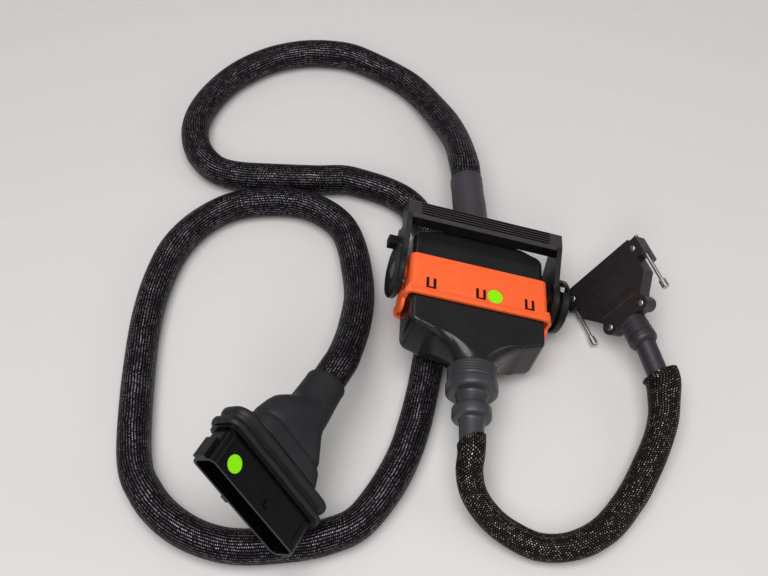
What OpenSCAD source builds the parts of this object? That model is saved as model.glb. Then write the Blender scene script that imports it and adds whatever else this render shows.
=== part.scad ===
// Test adapter harness: a lever-locked connector pair in an orange coupling frame,
// a long braided cable to a rectangular plug and a short one to a D-shaped connector.
// Millimetres. +X along the coupler's width, +Y along its mating axis, +Z up from the table.

/* [Hoods] */
// Width of the two cable hoods
hood_w = 89; // [76:1:104]
// Thickness of the two cable hoods
hood_h = 27.2; // [24:0.2:34]
// Length of the long-cable hood from its skirt to its shoulders
hood_a_len = 31.5; // [26:0.5:36]
// Length of the short-cable hood from its skirt to its shoulders
hood_b_len = 28; // [22:0.5:34]
// Radius of the concave flare between shoulder and neck
flare_r = 22; // [19:0.5:28]
// How far the flare runs along the cable
flare_len = 12.5; // [11:0.5:18]
// Diameter of the hoods' round necks
neck_d = 28; // [26:0.5:28.5]
// Length of the plain collar past the flare
neck_collar = 1; // [1:0.5:8]
// Lean of the hoods' shoulders, degrees
hood_lean = 12; // [0:1:15]
// Wall of the hoods
hood_wall = 2.4; // [1.6:0.1:3]
// Corner radius of the hoods
hood_r = 4; // [2:0.5:6]

/* [Coupling frame] */
// Distance from the mating plane to the frame's edge on the long-cable side
frame_front = 14; // [12:0.5:20]
// Distance from the mating plane to the frame's lip on the short-cable side
frame_back = 17; // [16:0.5:20]
// Wall of the frame
frame_wall = 1.8; // [1.4:0.1:2.6]
// How far the lip flares out beyond the frame
lip_flare = 2.4; // [1:0.1:4]
// Length of the lip along the mating axis
lip_len = 3.5; // [3:0.5:5]
// Distance between neighbouring spring tongues
tongue_pitch = 33; // [26:0.5:36]
// Width of a spring tongue
tongue_w = 4; // [3:0.25:6]
// Length of a spring tongue
tongue_len = 8; // [5:0.5:9]
// Width of the cut round a spring tongue
tongue_cut = 1.3; // [0.8:0.1:1.8]

/* [Locking lever] */
// Distance of the lever's pivot from the mating plane
pivot_y = 8; // [7:0.25:9]
// Radius of the cam discs
disc_r = 18; // [17.5:0.25:21]
// Thickness of the cam discs
disc_t = 4.8; // [4.6:0.1:6]
// Thickness of the round knob on the right-hand disc
knob_t = 6.8; // [5:0.2:9]
// Thickness of the lever's arms
arm_t = 3.4; // [2.6:0.1:4.8]
// Radius of the pivot studs
pivot_r = 3; // [2.4:0.1:3.4]
// Depth of the crossbar along the mating axis
bar_depth = 13.5; // [11:0.5:16]
// Height of the crossbar
bar_h = 11.6; // [9:0.2:14]
// Distance from the pivot to the crossbar's near face
bar_reach = 27; // [25:0.5:32]
// Grooves along the crossbar's grip
bar_grooves = 5; // [3:1:6]
// How far the lever draws the two halves together
cam_lift = 7; // [5:0.25:7.5]
// Lever turn that gives this lift, degrees
cam_turn = 90; // [70:5:100]
// Least radius of the cam grooves
cam_r_min = 7; // [6.6:0.1:8]
// Radius of the cam follower studs
follower_r = 1.9; // [1.5:0.05:2.1]

/* [Cables] */
// Diameter of the long braided cable
long_cable_d = 21; // [16:0.5:21]
// Diameter of the short braided cable
short_cable_d = 19; // [15:0.5:20]
// Length of the shrunk sleeve on the long cable
sleeve_len = 47; // [36:1:60]
// Diameter of the shrunk sleeve
sleeve_d = 22; // [21:0.5:25]
// Largest diameter of the stepped boot on the short cable
boot_d = 32.4; // [30:0.2:36]
// Length of the stepped boot
boot_len = 46.5; // [46:0.5:56]

/* [End plug] */
// Length of the plug's shroud
shroud_w = 80; // [68:1:96]
// Thickness of the plug's shroud
shroud_h = 18; // [15:0.5:22]
// Depth of the plug's mouth
shroud_depth = 22; // [18:0.5:28]
// Wall of the shroud
shroud_wall = 1.8; // [1.4:0.1:2.4]
// How far the sealing lips stand out from the shroud
seal_reach = 4.5; // [3:0.25:6]
// Length of the moulded boot behind the seal
plug_boot_len = 59; // [50:0.5:72]
// Diameter of the boot at its cable end
plug_neck_d = 24; // [23:0.5:28]

/* [D connector] */
// Distance between the two jackscrews
jack_spacing = 63.5; // [63:0.1:70]
// Thickness of the two-part hood
dsub_h = 11; // [10.5:0.25:14]
// Length of the two-part hood
dsub_len = 42; // [41.5:0.5:50]
// Radius of the jackscrews' thread
jack_r = 1.42; // [1.2:0.02:1.6]
// Length of a jackscrew from tip to head end
jack_len = 42; // [40:0.5:48]
// Diameter of the strain relief collar
collar_d = 18.8; // [17:0.2:22]
// Diameter of the strain relief tube
tube_d = 13.4; // [11:0.2:15]
// Sideways lean of the strain relief tube, degrees
tube_lean = 7; // [0:0.5:12]

/* [Labels] */
// Diameter of the round stickers
dot_d = 10; // [6:0.5:11]
// Thickness of the round stickers
dot_t = 0.2; // [0.1:0.05:0.4]

/* [Hidden] */
$fn = 48;

// Clearances: a pin that turns or is pressed in, a sliding housing, and a loose fit
fit = 0.05;
slide_gap = 0.3;
loose = 0.6;
eps = 0.01;

// How the coupler, the plug and the D connector lie on the table: turns in degrees, then places
coupler_tilt = 17;
coupler_shift = [-3.25, 3, 0];
sleeve_turn = 6;
plug_turn = [-6.5, 53, -23];
plug_place = [-127, -162, 62];
dsub_turn = [-3.4, 51.3, -157];
dsub_place = [83.3, 34, 30.7];

// Derived sizes of the coupler
frame_in_w = hood_w + 2 * slide_gap;
frame_in_h = hood_h + 2 * slide_gap;
frame_w = frame_in_w + 2 * frame_wall;
frame_h = frame_in_h + 2 * frame_wall;
lip_w = frame_w + 2 * lip_flare;
lip_h = frame_h + 0.4 * lip_flare;
flange_len = 4;
skirt_a = pivot_y;
skirt_b = 13;
neck_a = skirt_a + hood_a_len + flare_len + neck_collar;
neck_b = skirt_b + hood_b_len + flare_len + neck_collar;
spigot_r = 12;
spigot_bore = 10;
spigot_len = 4.5;
hood_in_w = hood_w - 2 * hood_wall;
hood_in_h = hood_h - 2 * hood_wall;
shroud_out_w = frame_in_w - 2 * loose;
shroud_out_h = frame_in_h - 2 * loose;
shell_t = 1.6;
shroud_in_w = shroud_out_w - 2 * shell_t;
shroud_in_h = shroud_out_h - 2 * shell_t;
nose_w = shroud_in_w - 2.2;
nose_h = shroud_in_h - 2.2;
nose_end = -4;
contact_cols = 12;
contact_rows = 3;
contact_pitch_x = 6;
contact_pitch_z = 6;
pin_r = 0.6;
contact_r = 1.1;

// Derived sizes of the lever: the arms run beside the lip, the bar over the hood
arm_x = lip_w / 2 + 0.8;
bar_near = pivot_y + bar_reach;
bar_low = hood_h / 2 + 0.8;
bar_top = bar_low + bar_h;
bar_half = arm_x + arm_t;
cam_pocket = 2.6;
boss_r = 6;
head_r = pivot_r + 2.5;
head_t = 1;
head_sunk = 0.2;
disc_edge = 1;
groove_steps = 30;

// The coupler leans on the rim of its right-hand knob
knob_end = arm_x + disc_t + knob_t;
rest_height = (knob_end - disc_edge) * sin(coupler_tilt) + disc_r * cos(coupler_tilt);

// Derived sizes of the plug
core_w = shroud_w - 2;
core_h = shroud_h - 1;
lip_front = shroud_depth + 1;
seal_len = 12.5;
seal_end = lip_front + seal_len;
plug_end = seal_end + plug_boot_len;
insert_depth = 15;
plug_pitch_x = 5;
plug_cols = floor((shroud_w - 12) / plug_pitch_x) + 1;
plug_rows = 3;
plug_pitch_z = 4.2;

// Derived sizes of the D connector
jack_x = jack_spacing / 2;
dsub_front = -1.8;
front_screw = [27.4, 5.1];
rear_screw = [13.5, 38.6];
screw_r = 1.2;
boss_screw_r = 5;
d_w = 54.8;
d_h = 7.9;
dsub_pins_top = 19;
dsub_pin_pitch = 2.76;
dsub_pin_row = 2.84;
shell_flange_y = 2;
shell_flange_t = 1;
shell_flange = [d_w + 1.4, 8.8];
shell_nose = 4.6;
jack_tip = -3;
jack_thread = 2.3;
jack_shank_r = jack_r - 0.17;
jack_head_len = 5.5;
jack_head_r = 2.4;
collar_start = dsub_len - 3;
tenon_r = 4.4;
collar_end = dsub_len + 19;
tube_len = 22;
tube_way = [sin(tube_lean), cos(tube_lean), 0];
tube_tip = [0, collar_end, 0] + tube_len * tube_way;
mouth = tube_tip + 1.9 * [-cos(tube_lean), sin(tube_lean), 0];

// A point of the coupler, the plug or the D connector in the part's frame
function turned(p, t) =
    let (a = [p[0] * cos(t[1]) + p[2] * sin(t[1]), p[1], p[2] * cos(t[1]) - p[0] * sin(t[1])],
        b = [a[0], a[1] * cos(t[0]) - a[2] * sin(t[0]), a[1] * sin(t[0]) + a[2] * cos(t[0])])
    [b[0] * cos(t[2]) - b[1] * sin(t[2]), b[0] * sin(t[2]) + b[1] * cos(t[2]), b[2]];
function on_coupler(p) = turned(p, [0, coupler_tilt, 0]) + coupler_shift + [0, 0, rest_height];
function on_plug(p) = turned(p, plug_turn) + plug_place;
function on_dsub(p) = turned(p, dsub_turn) + dsub_place;

// Routes of the two cables: from the sleeve round two loops to the plug, and from the boot
// to the D connector. The first and last points lie on the pieces that hold the cable.
sleeve_way = [-sin(sleeve_turn), cos(sleeve_turn), 0];
sleeve_end = [0, neck_a, 0] + sleeve_len * sleeve_way;
boot_end = neck_b + boot_len;
long_route = [
    on_coupler(sleeve_end), on_coupler(sleeve_end + 14 * sleeve_way),
    [-16, 157, 23], [-31, 193, 14], [-54, 225, 10.5], [-92, 250, 10.5], [-117, 256, 10.5],
    [-143, 254, 10.5], [-169, 243, 10.5], [-193, 221, 10.5], [-209, 191, 10.5], [-212, 163, 10.5],
    [-201, 137, 10.5], [-177, 122, 10.5], [-119, 121, 10.5], [-87, 120, 10.5], [-45, 98, 10.5],
    [-27, 42, 12], [-29, -24, 12], [-41, -94, 10.5], [-63, -139, 10.5], [-85, -154, 10.5],
    [-115, -161, 10.5], [-145, -162, 10.5], [-173, -152, 10.5], [-195, -132, 10.5],
    [-208, -102, 10.5], [-217, -18, 10.5], [-213, 36, 10.5], [-200, 68, 10.5], [-177, 90, 10.5],
    [-149, 98, 10.5], [-121, 96, 10.5], [-98, 82, 10.5], [-86, 60, 11.5], [-77.5, 16, 20],
    [-77.5, -22, 34.5], on_plug([0.3, plug_end + 24, -1]),
    on_plug([0, plug_end + 12, 0]), on_plug([0, plug_end, 0])];
short_route = [
    on_coupler([0, -boot_end, 0]), on_coupler([0, -boot_end - 10, 0]),
    [-4, -117, 28], [-1, -127, 21], [7, -136, 15.5], [19, -144, 11.5], [37, -151, 10],
    [57, -150, 10], [76, -140, 10], [92, -121, 10.5], [102, -104, 12],
    [110, -87, 14.5], [115, -71, 18.5], [116.5, -56.5, 22.3], on_dsub(mouth + 5 * tube_way),
    on_dsub(mouth)];
long_rings = 56;
short_rings = 20;
cable_sides = 10;

// Smooth curve through a route, and rings square to it
function unit(v) = v / norm(v);
function between(a, b, c, d, t) =
    b + 0.5 * t * (c - a + t * (2 * a - 5 * b + 4 * c - d + t * (3 * (b - c) + d - a)));
function route_at(r, u) =
    let (last = len(r) - 1, i = min(floor(u * last), last - 1), t = u * last - i)
    between(r[max(i - 1, 0)], r[i], r[i + 1], r[min(i + 2, last)], t);
function route_way(r, u) =
    u < eps ? unit(r[1] - r[0]) :
    u > 1 - eps ? unit(r[len(r) - 1] - r[len(r) - 2]) :
    unit(route_at(r, u + 0.002) - route_at(r, u - 0.002));
function ring(r, u, radius) =
    let (way = route_way(r, u), side = unit(cross(way, [0, 0, 1])), up = cross(side, way))
    [for (k = [0 : cable_sides - 1])
        route_at(r, u) + radius * (cos(k * 360 / cable_sides) * side + sin(k * 360 / cable_sides) * up)];

module cable(route, rings, diameter) {
    // the flat-sided rings reach the true radius at their corners and stay above the table
    points = [for (i = [0 : rings - 1]) each ring(route, i / (rings - 1), diameter / 2)];
    wall = [for (i = [0 : rings - 2], k = [0 : cable_sides - 1])
        let (a = i * cable_sides + k, b = i * cable_sides + (k + 1) % cable_sides)
        each [[a, b, b + cable_sides], [a, b + cable_sides, a + cable_sides]]];
    first = [for (k = [1 : cable_sides - 2]) [0, k + 1, k]];
    base = (rings - 1) * cable_sides;
    last = [for (k = [1 : cable_sides - 2]) [base, base + k, base + k + 1]];
    polyhedron(points, concat(wall, first, last));
}

// Shared shapes
module rounded_rect(w, h, r) {
    square([w - 2 * r, h], center = true);
    square([w, h - 2 * r], center = true);
    for (sx = [-1, 1], sy = [-1, 1])
        translate([sx * (w / 2 - r), sy * (h / 2 - r)]) circle(r);
}

module along_y(from, to) {
    translate([0, from, 0]) rotate([-90, 0, 0]) linear_extrude(to - from) children();
}

module along_x(from, to) {
    translate([from, 0, 0]) rotate([90, 0, 90]) linear_extrude(to - from) children();
}

// A rounded bar along Y and a round one along X
module bar_y(w, h, r, from, to) {
    along_y(from, to) rounded_rect(w, h, r);
}

module round_x(r, from, to, y = 0, z = 0) {
    translate([from, y, z]) rotate([0, 90, 0]) cylinder(r = r, h = to - from);
}

module round_y(r, from, to, x = 0, z = 0) {
    translate([x, from, z]) rotate([-90, 0, 0]) cylinder(r = r, h = to - from);
}

// A turned piece whose profile is drawn as (radius, distance along Y)
module turned_y(from = 0) {
    translate([0, from, 0]) rotate([-90, 0, 0]) mirror([0, 1, 0]) rotate_extrude() children();
}

module grid(cols, rows, pitch_x, pitch_z) {
    for (i = [0 : cols - 1], k = [0 : rows - 1])
        translate([(i - (cols - 1) / 2) * pitch_x, 0, (k - (rows - 1) / 2) * pitch_z]) children();
}

module both_sides() {
    children();
    mirror([1, 0, 0]) children();
}

// Places on the table
module coupler_pose() {
    translate(coupler_shift + [0, 0, rest_height]) rotate([0, coupler_tilt, 0]) children();
}

module plug_pose() {
    translate(plug_place) rotate([0, 0, plug_turn[2]]) rotate([plug_turn[0], 0, 0])
        rotate([0, plug_turn[1], 0]) children();
}

module dsub_pose() {
    translate(dsub_place) rotate([0, 0, dsub_turn[2]]) rotate([dsub_turn[0], 0, 0])
        rotate([0, dsub_turn[1], 0]) children();
}

// Cable hood: a box skirt with its mouth at y = 0, round shoulders, a concave flare and a neck
module hood_plan(length) {
    flare_x = neck_d / 2 + sqrt(flare_r * flare_r - pow(flare_r - flare_len, 2));
    shoulder_r = 5;
    back = -2 * hood_h;
    translate([-hood_w / 2, back]) square([hood_w, length - shoulder_r - back]);
    translate([-hood_w / 2 + shoulder_r, back]) square([hood_w - 2 * shoulder_r, length - back]);
    for (s = [-1, 1])
        translate([s * (hood_w / 2 - shoulder_r), length - shoulder_r]) circle(shoulder_r);
    difference() {
        translate([-flare_x, length - 1]) square([2 * flare_x, flare_len + 1]);
        for (s = [-1, 1])
            translate([s * flare_x, length + flare_r]) circle(flare_r);
    }
}

module hood(length) {
    end = length + flare_len;
    neck_cone = 2.2;
    tall = 3 * hood_h;
    bore_r = neck_d / 2 - hood_wall - 2;
    difference() {
        union() {
            intersection() {
                rotate([hood_lean, 0, 0]) translate([0, 0, -tall / 2]) linear_extrude(tall) hood_plan(length);
                bar_y(hood_w, hood_h, hood_r, 0, end);
                translate([0, end, 0]) rotate([90, 0, 0])
                    cylinder(r1 = neck_d / 2 + 3, r2 = neck_d / 2 + 3 + neck_cone * end, h = end);
            }
            round_y(neck_d / 2, end - 4, end + neck_collar);
        }
        bar_y(hood_in_w, hood_in_h, hood_r - 1, -eps, length - hood_wall - 3);
        round_y(bore_r, length - hood_wall - 4, end + neck_collar + eps);
    }
}

module hood_a() {
    color("#2d2928") coupler_pose() translate([0, skirt_a, 0]) hood(hood_a_len);
}

module hood_b() {
    // a thin ring stands out of the neck and holds the boot
    color("#252428") coupler_pose() mirror([0, 1, 0]) {
        translate([0, skirt_b, 0]) hood(hood_b_len);
        difference() {
            round_y(spigot_r, neck_b - 1, neck_b + spigot_len);
            round_y(spigot_bore, neck_b - 2, neck_b + spigot_len + 1);
        }
    }
}

// Orange frame: a sleeve with a flared lip, spring tongues, side lobes and pivot bosses
module tongue_slot() {
    w = tongue_w + 2 * tongue_cut;
    translate([-w / 2, -tongue_len / 2, 0]) difference() {
        cube([w, tongue_len, 2 * frame_wall + 2]);
        translate([tongue_cut, tongue_cut, -1])
            cube([tongue_w, tongue_len, 2 * frame_wall + 4]);
    }
}

module frame_form() {
    lip_from = -frame_back + lip_len;
    slope = lip_flare + 1;
    rise = (lip_h - frame_h) / 2;
    ramp = 1.5;
    intersection() {
        translate([0, 0, -lip_h]) linear_extrude(2 * lip_h) polygon([
            [-frame_w / 2, frame_front], [frame_w / 2, frame_front], [frame_w / 2, lip_from + slope],
            [lip_w / 2, lip_from], [lip_w / 2, -frame_back], [-lip_w / 2, -frame_back],
            [-lip_w / 2, lip_from], [-frame_w / 2, lip_from + slope]]);
        along_x(-lip_w, lip_w) polygon([
            [frame_front, frame_h / 2], [lip_from + ramp, frame_h / 2], [lip_from, frame_h / 2 + rise],
            [-frame_back, frame_h / 2 + rise], [-frame_back, -frame_h / 2 - rise],
            [lip_from, -frame_h / 2 - rise], [lip_from + ramp, -frame_h / 2], [frame_front, -frame_h / 2]]);
        union() {
            bar_y(lip_w, lip_h, 5, -frame_back - 1, lip_from + slope);
            bar_y(frame_w, frame_h, 4.5, -frame_back - 1, frame_front + 1);
        }
    }
}

module coupling_frame() {
    lobe_r = 7;
    lobe_t = 2.1;
    boss_end = arm_x - slide_gap;
    slot_r = follower_r + slide_gap;
    tongue_y = -7.5;
    color("#fc7643") coupler_pose() difference() {
        union() {
            frame_form();
            both_sides() {
                round_x(lobe_r, lip_w / 2 - lobe_t, lip_w / 2, 2 - frame_back);
                round_x(boss_r, frame_w / 2 - 0.5, boss_end, pivot_y);
            }
        }
        bar_y(frame_in_w, frame_in_h, 3, -frame_back - 8, frame_front + 1);
        bar_y(lip_w - 2 * lobe_t, frame_in_h + 1, 3, -frame_back - 8, -skirt_b - 0.5);
        both_sides() {
            round_x(pivot_r + fit / 2, frame_in_w / 2 - 1, boss_end + 1, pivot_y);
            for (y = [pivot_y - cam_r_min, pivot_y - cam_r_min - cam_lift])
                round_x(slot_r, frame_in_w / 2 - 1, boss_end + 1, y);
            translate([frame_in_w / 2 - 1, pivot_y - cam_r_min - cam_lift, -slot_r])
                cube([boss_end - frame_in_w / 2 + 2, cam_lift, 2 * slot_r]);
        }
        for (i = [-1 : 1], side = [0, 1])
            mirror([0, 0, side]) translate([i * tongue_pitch, tongue_y, frame_in_h / 2 - 1]) tongue_slot();
    }
}

// Inner housings of the two halves, their contacts and the seal between them
module plug_body() {
    color("#1b1b1d") coupler_pose() difference() {
        union() {
            bar_y(nose_w, nose_h, 2.5, nose_end, skirt_a - flange_len);
            bar_y(hood_w, hood_h, hood_r, skirt_a - flange_len, skirt_a);
            bar_y(hood_in_w - 0.6, hood_in_h - 0.6, hood_r - 1.2, skirt_a, skirt_a + 12);
        }
        grid(contact_cols, contact_rows, contact_pitch_x, contact_pitch_z)
            round_y(contact_r, nose_end - 1, skirt_a + 13);
    }
}

module plug_contacts() {
    color("#b58b3a") coupler_pose() grid(contact_cols, contact_rows, contact_pitch_x, contact_pitch_z)
        difference() {
            round_y(contact_r - fit, nose_end + 1, skirt_a + 15);
            round_y(pin_r + 0.15, nose_end, skirt_a + 4);
        }
}

module interface_seal() {
    color("#3a3a3e") coupler_pose() difference() {
        bar_y(shroud_in_w - 0.3, shroud_in_h - 0.3, 3.2, 0.5, 3.5);
        bar_y(nose_w + 0.02, nose_h + 0.02, 2.5, 0, 4);
    }
}

module receptacle_body() {
    base_t = 5;
    shroud_end = skirt_a - flange_len - 0.6;
    color("#1b1b1d") coupler_pose() difference() {
        union() {
            bar_y(shroud_out_w, shroud_out_h, 2.6, -skirt_b, shroud_end);
            bar_y(hood_in_w - 0.6, hood_in_h - 0.6, hood_r - 1.2, -skirt_b - 7, -skirt_b);
        }
        bar_y(shroud_in_w, shroud_in_h, 3, -skirt_b + base_t, shroud_end + 1);
        both_sides() round_x(follower_r + fit / 2, shroud_in_w / 2 - 1, shroud_out_w / 2 + 1,
            pivot_y - cam_r_min);
        grid(contact_cols, contact_rows, contact_pitch_x, contact_pitch_z)
            round_y(pin_r + fit, -skirt_b - 8, -skirt_b + base_t + 1);
    }
}

module receptacle_pins() {
    tip = 0;
    color("#c8a24e") coupler_pose() grid(contact_cols, contact_rows, contact_pitch_x, contact_pitch_z)
        round_y(pin_r, -skirt_b - 11, tip);
}

module cam_followers() {
    color("#a7a9ac") coupler_pose() both_sides()
        round_x(follower_r, shroud_in_w / 2 + 0.05, arm_x + cam_pocket - 0.4, pivot_y - cam_r_min);
}

// Lever: two cam discs on arms, joined by a ribbed crossbar. Each disc has a spiral groove that
// draws the follower stud towards the pivot by the same amount for every degree of turn.
module spiral_groove() {
    half = follower_r + 0.25;
    lead = 22;
    turn = [for (i = [0 : groove_steps]) -lead + i * (cam_turn + 2 * lead) / groove_steps];
    function centre(a) = let (r = cam_r_min + cam_lift * min(max(a, 0), cam_turn) / cam_turn)
        r * [cos(180 - a), sin(180 - a)];
    function across(a) = let (d = unit(centre(a + 1) - centre(a - 1))) [-d[1], d[0]];
    polygon(concat([for (a = turn) centre(a) + half * across(a)],
        [for (i = [groove_steps : -1 : 0]) centre(turn[i]) - half * across(turn[i])]));
}

module crossbar() {
    groove_w = 1.1;
    groove_depth = 1.2;
    edge = 1.8;
    pitch = (bar_depth - 2 * edge) / bar_grooves;
    plain_end = 9;
    difference() {
        along_x(-bar_half, bar_half) polygon([
            [0, edge], [edge, 0], [bar_depth - edge, 0], [bar_depth, edge],
            [bar_depth, bar_h - edge], [bar_depth - edge, bar_h], [edge, bar_h], [0, bar_h - edge]]);
        for (i = [0 : bar_grooves - 1])
            along_x(plain_end - bar_half, bar_half - plain_end)
                translate([edge + (i + 0.5) * pitch - groove_w / 2, bar_h - groove_depth])
                    square([groove_w, groove_depth + 1]);
    }
}

module disc(from, to) {
    translate([from, pivot_y, 0]) rotate([0, 90, 0]) rotate_extrude() polygon([
        [0, 0], [disc_r - disc_edge, 0], [disc_r, disc_edge], [disc_r, to - from - disc_edge],
        [disc_r - disc_edge, to - from], [0, to - from]]);
}

module lever_side() {
    // one arm with its disc, at positive x
    arm_low = -27;
    disc(arm_x, arm_x + disc_t);
    along_x(arm_x, arm_x + arm_t) polygon([
        [pivot_y, disc_r - 1], [bar_near + 2, bar_top], [bar_near + bar_depth - 2, bar_top],
        [bar_near + bar_depth - 1, bar_low + 2], [bar_near + bar_depth - 4, bar_low],
        [pivot_y + (disc_r - 1) * cos(arm_low), (disc_r - 1) * sin(arm_low)], [pivot_y, 0]]);
}

module stud_room(outer) {
    // bore for a pivot stud and the seat of its head in the outer face
    round_x(pivot_r + fit, arm_x - 1, outer + 1, pivot_y);
    round_x(head_r + 0.4, outer - head_t - 2 * head_sunk, outer + 1, pivot_y);
}

module locking_lever() {
    tab = [6.4, 6.5, 6.5];
    knob_gap = 1.6;
    eye_h = 3.4;
    color("#1c1b1c") coupler_pose() difference() {
        union() {
            both_sides() lever_side();
            disc(knob_end - knob_t + knob_gap, knob_end);
            round_x(disc_r - 5, arm_x + 1, knob_end - 1, pivot_y);
            translate([0, bar_near, bar_low]) crossbar();
            translate([-bar_half - tab[0] + 0.5, pivot_y + disc_r - 1, -0.5]) cube(tab);
        }
        // an eye through the knob's rim, open to the outside except at its near end
        translate([arm_x + disc_t + 0.1, pivot_y, 0]) rotate([-53, 0, 0]) {
            translate([0, -disc_r, disc_r - 8]) cube([knob_t - 2.4, 2 * disc_r, eye_h]);
            translate([0, -8, disc_r - 8]) cube([knob_t + 1, disc_r + 8, eye_h]);
        }
        stud_room(knob_end);
        mirror([1, 0, 0]) stud_room(arm_x + disc_t);
        both_sides() {
            along_x(arm_x - 1, arm_x + cam_pocket) translate([pivot_y, 0]) spiral_groove();
            // slanted ends of the crossbar
            translate([bar_half, bar_near - 1, bar_low - 1]) rotate([0, 35, 0])
                translate([0, 0, -6]) cube([8, bar_depth + 2, 9]);
        }
    }
}

module pivot_stud(outer) {
    round_x(pivot_r, frame_in_w / 2 + 0.1, outer - head_t, pivot_y);
    round_x(head_r, outer - head_t - head_sunk, outer - head_sunk, pivot_y);
}

module pivot_studs() {
    color("#8d8f92") coupler_pose() {
        pivot_stud(knob_end);
        mirror([1, 0, 0]) pivot_stud(arm_x + disc_t);
    }
}

module frame_dot() {
    color("#94e022") coupler_pose() translate([9.5, -7.2, frame_h / 2])
        cylinder(r = dot_d / 2, h = dot_t);
}

// Cable ends on the coupler
module cable_sleeve() {
    // a ring seated on the hood's neck, then the sleeve leaving it at a slight turn
    bead = 0.6;
    seat = 4;
    color("#4d494f") coupler_pose() {
        round_y(neck_d / 2 - 1, neck_a, neck_a + seat);
        translate([0, neck_a, 0]) rotate([0, 0, sleeve_turn]) turned_y(0) {
            translate([0, seat / 2]) square([sleeve_d / 2, sleeve_len - seat / 2]);
            translate([0, sleeve_len / 2]) square([sleeve_d / 2 + bead, 3]);
        }
    }
}

module ribbed_boot() {
    // a pocket for the ring on the hood's neck, then a grooved rim, two bulges and a plain tail
    pocket = spigot_len + slide_gap;
    wide = boot_d / 2;
    mid = 12.2;
    waist = 10;
    tail = 7.8;
    color("#3e3d42") coupler_pose() mirror([0, 1, 0]) turned_y(neck_b) polygon([
        [0, pocket], [spigot_r + fit, pocket], [spigot_r + fit, 0], [wide - 1.6, 0], [wide - 0.9, 0.8],
        [wide - 0.9, 3.6], [wide - 1.2, 3.9], [wide - 1.2, 4.5],
        [wide - 0.9, 4.8], [wide - 0.9, 6.4], [wide - 1.2, 6.7], [wide - 1.2, 7.3], [wide - 0.9, 7.6],
        [wide - 0.9, 9.6], [wide - 0.5, 10.2], [wide - 0.2, 11.5], [wide, 13.5], [wide, 15],
        [wide - 0.5, 17], [wide - 1.8, 19], [wide - 3.6, 20.6], [waist + 0.6, 22.2], [waist, 23.5],
        [waist, 26], [waist + 0.6, 27.4], [mid - 0.8, 28.6], [mid - 0.2, 31], [mid, 33], [mid - 0.3, 35],
        [mid - 1.4, 37], [mid - 2.9, 38.4], [tail + 0.5, 39.6], [tail, 41], [tail, 44.2],
        [tail + 0.5, 45], [tail + 0.5, boot_len], [0, boot_len]]);
}

module long_cable() {
    color("#1f1b20") cable(long_route, long_rings, long_cable_d);
}

module short_cable() {
    color("#1f1b20") cable(short_route, short_rings, short_cable_d);
}

// End plug: y = 0 at the mouth, +y to the cable, +z out of the face with the sticker
module plug_shroud() {
    key = [5, 5, 3];
    lug = [2.4, 13, 9];
    rib = [1.6, 14, 0.8];
    color("#1a191e") plug_pose() difference() {
        union() {
            bar_y(shroud_w, shroud_h, 5, 0, shroud_depth);
            bar_y(core_w, core_h, 4.5, shroud_depth - eps, seal_end);
            bar_y(shroud_w + 4, shroud_h + 4, 6, shroud_depth - 1.5, lip_front);
            // a key and a lug at the mouth, ribs and a catch on the broad face
            translate([-key[0] - 4, 0.5, -shroud_h / 2 - key[2]]) cube(key + [0, 0, 1]);
            translate([-shroud_w / 2 - lug[0], 0, -lug[2] / 2]) cube(lug + [1, 0, 0]);
            translate([3, 5, shroud_h / 2 - 0.5]) cube([3.5, 4, 1.3]);
            for (x = [-shroud_w / 2 + 6, shroud_w / 2 - 8])
                translate([x, 3, shroud_h / 2 - 0.4]) cube(rib);
        }
        bar_y(shroud_w - 2 * shroud_wall, shroud_h - 2 * shroud_wall, 5 - shroud_wall, -1, shroud_depth);
    }
}

module plug_insert() {
    gap = 0.1;
    color("#28272b") plug_pose() difference() {
        bar_y(shroud_w - 2 * shroud_wall - 2 * gap, shroud_h - 2 * shroud_wall - 2 * gap,
            5 - shroud_wall, insert_depth, shroud_depth);
        grid(plug_cols, plug_rows, plug_pitch_x, plug_pitch_z)
            round_y(pin_r, insert_depth - 1, shroud_depth - 1);
    }
}

module plug_pins() {
    stand = 7;
    color("#c9c7bd") plug_pose() grid(plug_cols, plug_rows, plug_pitch_x, plug_pitch_z)
        round_y(pin_r - fit, insert_depth - stand, shroud_depth - 1.05);
}

module flange_seal() {
    // two rounded lips on a thinner web
    lip_t = 4;
    w = shroud_w + 2 * seal_reach;
    h = shroud_h + 2 * seal_reach - 2;
    color("#2a292c") plug_pose() difference() {
        union() {
            bar_y(w, h - 2, 8, lip_front, lip_front + lip_t);
            bar_y(w - 6, h - 6, 6, lip_front, seal_end);
            bar_y(w - 1, h, 9, seal_end - lip_t - 0.5, seal_end - 0.5);
        }
        bar_y(core_w + 0.1, core_h + 0.1, 4.5, lip_front - 1, seal_end + 1);
    }
}

module boot_section(y, w, h, r, x = 0) {
    translate([x, y, 0]) rotate([-90, 0, 0]) linear_extrude(eps) hull()
        for (sx = [-1, 1], sz = [-1, 1])
            translate([sx * (w / 2 - r), sz * (h / 2 - r)]) circle(r, $fn = 32);
}

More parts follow.
